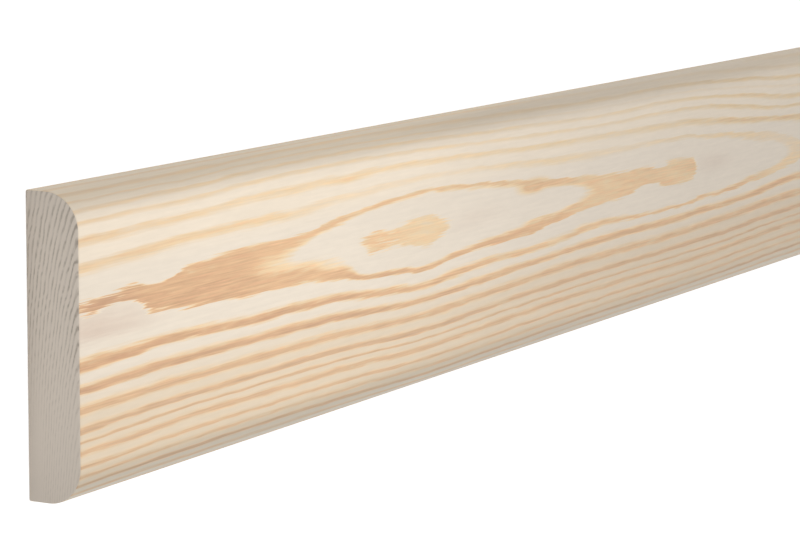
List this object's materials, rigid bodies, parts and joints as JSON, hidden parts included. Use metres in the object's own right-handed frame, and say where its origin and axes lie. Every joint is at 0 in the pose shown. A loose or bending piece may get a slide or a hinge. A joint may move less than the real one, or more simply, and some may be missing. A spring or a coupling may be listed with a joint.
{
  "type": "cover strip",
  "caption": "Flat planed softwood cover strip with both long edges of its face rounded and its ends cut square.",
  "frame": {"origin": "centre of the flat back that the strip lies on", "axes": "+X along the strip's length, from the end that the picture shows; +Y across its width; +Z out of its moulded face"},
  "size_m": [2.4, 0.06, 0.012],
  "materials": {
    "pine": "matte"
  },
  "bodies": {
    "root": {"cover_strip": "pine"}
  },
  "joints": []
}
